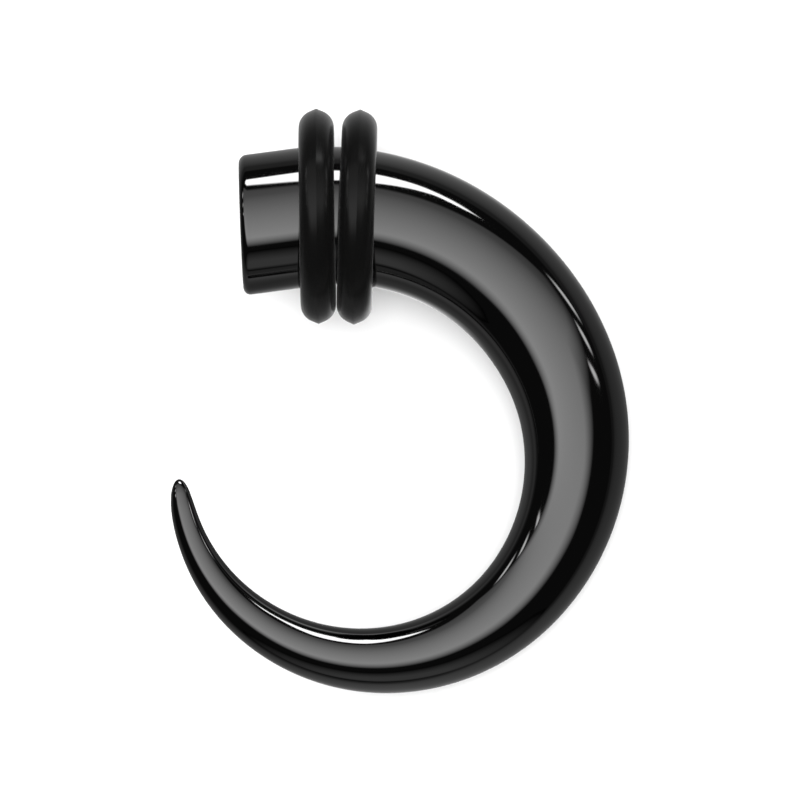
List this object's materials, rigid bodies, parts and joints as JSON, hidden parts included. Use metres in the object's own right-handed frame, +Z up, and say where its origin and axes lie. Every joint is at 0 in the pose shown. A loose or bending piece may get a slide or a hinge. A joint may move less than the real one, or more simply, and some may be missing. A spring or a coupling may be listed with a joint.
{
  "type": "ear stretching taper",
  "caption": "Hook-shaped ear stretching taper, a bar that thins round an open bend from a thick straight shaft to a blunt point, held by rubber O-rings on the shaft.",
  "frame": {"origin": "bottom centre of the part's box as it lies on its side on a table", "axes": "+Z up from the table, +Y towards the shaft and its O-rings, +X towards the outside of the bend; seen from above, the point is at the lower left"},
  "size_m": [0.0262, 0.0334, 0.0125],
  "materials": {
    "black_coated_steel": "mirror-polished surgical steel with a black vapour-deposited coating",
    "black_rubber": "matte moulded rubber"
  },
  "bodies": {
    "root": {"hook_taper": "black_coated_steel", "o_ring_back": "black_rubber", "o_ring_front": "black_rubber"}
  },
  "joints": []
}
